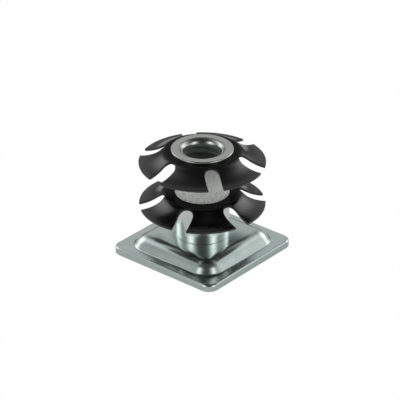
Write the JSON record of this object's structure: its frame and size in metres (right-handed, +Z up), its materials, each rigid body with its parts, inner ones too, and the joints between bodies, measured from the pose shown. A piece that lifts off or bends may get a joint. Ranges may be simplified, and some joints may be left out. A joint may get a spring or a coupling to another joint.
{
  "type": "threaded caster insert",
  "caption": "Square-tube end insert: pressed square plate, threaded sleeve and slotted spring-steel star washers that grip the tube, for a caster or leveller stem.",
  "frame": {"origin": "centre of the plate, on the underside of its rim", "axes": "+Z up along the sleeve into the tube, X and Y parallel to the plate's sides"},
  "size_m": [0.0382, 0.0382, 0.0332],
  "materials": {
    "plate_zinc": "bright zinc plating",
    "sleeve_zinc": "zinc plated, turned",
    "bright_spacer": "bright zinc plating",
    "dull_spacer": "dull mottled zinc",
    "black_spring_steel": "satin black oxide"
  },
  "bodies": {
    "root": {"base_plate": "plate_zinc", "threaded_sleeve": "sleeve_zinc", "lower_spacer": "bright_spacer", "lower_star": "black_spring_steel", "upper_spacer": "dull_spacer", "upper_star": "black_spring_steel"}
  },
  "joints": []
}
